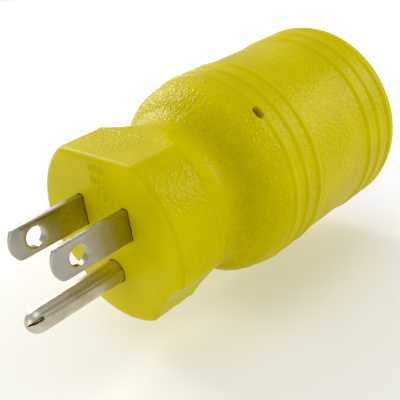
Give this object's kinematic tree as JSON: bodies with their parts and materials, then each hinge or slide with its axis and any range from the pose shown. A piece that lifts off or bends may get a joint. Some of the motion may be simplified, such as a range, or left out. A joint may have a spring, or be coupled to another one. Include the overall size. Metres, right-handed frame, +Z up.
{
  "type": "plug adapter",
  "caption": "Moulded yellow plug adapter: straight-blade grounded plug on a scalloped head, joined to a round barrel with a locking receptacle.",
  "frame": {"origin": "centre of the plug face, on the axis of the barrel", "axes": "+Y from the plug face into the body, so the prongs point to -Y; +Z up, with the head's flat on top and the ground pin below; +X to the right, on the neutral blade's side"},
  "size_m": [0.0436, 0.0891, 0.0436],
  "materials": {
    "jacket_pvc": "yellow moulded PVC with pebbled grain, satin",
    "mould_pvc": "dark grey filler PVC, matte",
    "carrier_nylon": "natural nylon",
    "insert_nylon": "black glass-filled nylon, fine spark texture",
    "nickel": "bright nickel plate on brass",
    "contact_brass": "stamped brass",
    "copper": "bare stranded copper",
    "spring_steel": "spring steel",
    "screw_steel": "zinc-plated steel",
    "hot_insulation": "black wire insulation",
    "neutral_insulation": "white wire insulation",
    "ground_insulation": "green wire insulation"
  },
  "bodies": {
    "root": {"outer_jacket": "jacket_pvc", "inner_mould": "mould_pvc", "blade_carrier": "carrier_nylon", "hot_blade": "nickel", "neutral_blade": "nickel", "ground_pin": "nickel", "hot_wire_core": "copper", "hot_wire_insulation": "hot_insulation", "hot_contact": "contact_brass", "hot_contact_clip": "spring_steel", "neutral_wire_core": "copper", "neutral_wire_insulation": "neutral_insulation", "neutral_contact": "contact_brass", "neutral_contact_clip": "spring_steel", "ground_wire_core": "copper", "ground_wire_insulation": "ground_insulation", "ground_contact": "contact_brass", "ground_contact_clip": "spring_steel", "receptacle_face": "insert_nylon", "receptacle_back": "insert_nylon", "assembly_screw_1": "screw_steel", "assembly_screw_2": "screw_steel", "assembly_screw_3": "screw_steel"}
  },
  "joints": []
}
